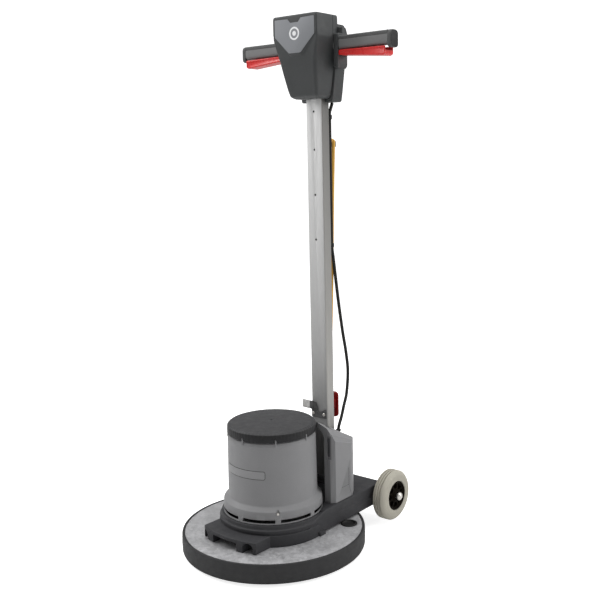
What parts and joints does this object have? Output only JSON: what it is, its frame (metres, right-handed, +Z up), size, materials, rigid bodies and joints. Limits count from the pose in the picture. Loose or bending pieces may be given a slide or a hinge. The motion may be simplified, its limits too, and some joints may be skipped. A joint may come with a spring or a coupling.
{
  "type": "rotary floor machine",
  "caption": "Upright rotary floor machine: round brush deck with bumper, motor under a cap, tilting pole handle with grips and levers, and transport wheels.",
  "frame": {"origin": "on the floor, on the axis of the motor and the brush", "axes": "+Z up; -Y to the front block of the chassis; +Y to the wheels and the operator; +X to the right seen from the front block's side with the pole behind"},
  "size_m": [0.456, 0.5509, 1.241],
  "materials": {
    "deck_metal": "mottled galvanised plate",
    "bumper": "matt",
    "casting": "fine textured moulding",
    "casing": "satin moulding",
    "dark_plastic": "textured moulding",
    "black_plastic": "matt",
    "label": "smooth film",
    "steel": "plain",
    "pole_metal": "silver satin paint",
    "tyre": "grey non-marking rubber",
    "hub": "matt",
    "red_plastic": "gloss",
    "lead_black": "matt",
    "lead_yellow": "satin",
    "copper_steel": "laminated steel with varnished windings",
    "bristle": "filament"
  },
  "bodies": {
    "chassis": {"deck_plate": "deck_metal", "bumper_ring": "bumper", "deck_port_plug": "black_plastic", "chassis_frame": "casting", "motor_casing": "casing", "motor_cap": "dark_plastic", "cap_screw": "steel", "casing_screw": "steel", "gearbox_case": "steel", "ring_gear": "steel", "output_bearing": "steel", "lower_end_shield": "steel", "lower_bearing": "steel", "stator_core": "copper_steel", "upper_end_shield": "steel", "upper_bearing": "steel", "rear_cover": "casing", "lead_gland": "black_plastic", "start_capacitor": "black_plastic", "run_capacitor": "black_plastic", "handle_bracket": "steel", "pivot_pin": "steel", "axle": "steel", "axle_cap_left": "steel", "axle_cap_right": "steel"},
    "rotor": {"motor_shaft": "steel", "rotor_core": "steel", "cooling_fan": "black_plastic"},
    "brush": {"planet_carrier": "steel", "drive_plate": "dark_plastic", "brush_block": "dark_plastic", "brush_bristles": "bristle"},
    "planet_1": {"planet_gear_1": "steel"},
    "planet_2": {"planet_gear_2": "steel"},
    "planet_3": {"planet_gear_3": "steel"},
    "wheel_left": {"tyre_left": "tyre", "wheel_hub_left": "hub"},
    "wheel_right": {"tyre_right": "tyre", "wheel_hub_right": "hub"},
    "handle": {"pole_tube": "pole_metal", "accessory_bracket": "deck_metal", "bracket_screw_1": "steel", "bracket_screw_2": "steel", "cable_hook_upper": "black_plastic", "lead_clip_upper": "black_plastic", "lead_clip_lower": "black_plastic", "motor_lead_upper": "lead_black", "motor_lead_lower": "lead_black", "supply_lead": "lead_yellow", "control_box_front": "dark_plastic", "control_box_rear": "dark_plastic", "box_label": "label", "power_switch": "black_plastic", "handle_bar": "steel", "grip_left": "dark_plastic", "grip_right": "dark_plastic"},
    "lock_button": {"lock_button": "lead_yellow"},
    "lever_left": {"lever_left": "red_plastic"},
    "lever_right": {"lever_right": "red_plastic"},
    "cable_hook": {"cable_hook_lower": "red_plastic"}
  },
  "joints": [
    {"name": "brush_spin", "type": "hinge", "parent": "chassis", "child": "brush", "pos_m": [0, 0, 0.03], "axis": [0, 0, 1], "continuous": true},
    {"name": "rotor_spin", "type": "hinge", "parent": "chassis", "child": "rotor", "pos_m": [0, 0, 0.2], "axis": [0, 0, 1], "continuous": true},
    {"name": "planet_1_spin", "type": "hinge", "parent": "brush", "child": "planet_1", "pos_m": [0.03375, 0, 0.1], "axis": [0, 0, 1], "continuous": true},
    {"name": "planet_2_spin", "type": "hinge", "parent": "brush", "child": "planet_2", "pos_m": [-0.01688, 0.02923, 0.1], "axis": [0, 0, 1], "continuous": true},
    {"name": "planet_3_spin", "type": "hinge", "parent": "brush", "child": "planet_3", "pos_m": [-0.01688, -0.02923, 0.1], "axis": [0, 0, 1], "continuous": true},
    {"name": "wheel_left_spin", "type": "hinge", "parent": "chassis", "child": "wheel_left", "pos_m": [-0.149, 0.2746, 0.073], "axis": [1, 0, 0], "continuous": true},
    {"name": "wheel_right_spin", "type": "hinge", "parent": "chassis", "child": "wheel_right", "pos_m": [0.149, 0.2746, 0.073], "axis": [1, 0, 0], "continuous": true},
    {"name": "handle_tilt", "type": "hinge", "parent": "chassis", "child": "handle", "pos_m": [0, 0.193, 0.132], "axis": [-1, 0, 0], "range_deg": [0, 60], "deforming": ["motor_lead_lower"]},
    {"name": "lever_left_squeeze", "type": "hinge", "parent": "handle", "child": "lever_left", "pos_m": [-0.075, 0.19, 1.154], "axis": [0, 1, 0], "range_deg": [0, 4.5], "stiffness_Nm_per_rad": 2},
    {"name": "lever_right_squeeze", "type": "hinge", "parent": "handle", "child": "lever_right", "pos_m": [0.075, 0.19, 1.154], "axis": [0, -1, 0], "range_deg": [0, 4.5], "stiffness_Nm_per_rad": 2},
    {"name": "lock_button_press", "type": "slide", "parent": "handle", "child": "lock_button", "axis": [0, -1, 0], "range_m": [0, 0.004], "stiffness_N_per_m": 300},
    {"name": "cable_hook_turn", "type": "hinge", "parent": "handle", "child": "cable_hook", "pos_m": [0, 0.212, 0.291], "axis": [0, 1, 0], "range_deg": [0, 180]}
  ],
  "couplings": [
    {"joint": "rotor_spin", "follows": "brush_spin", "ratio": 9},
    {"joint": "planet_1_spin", "follows": "brush_spin", "ratio": -2.2857},
    {"joint": "planet_2_spin", "follows": "brush_spin", "ratio": -2.2857},
    {"joint": "planet_3_spin", "follows": "brush_spin", "ratio": -2.2857}
  ]
}
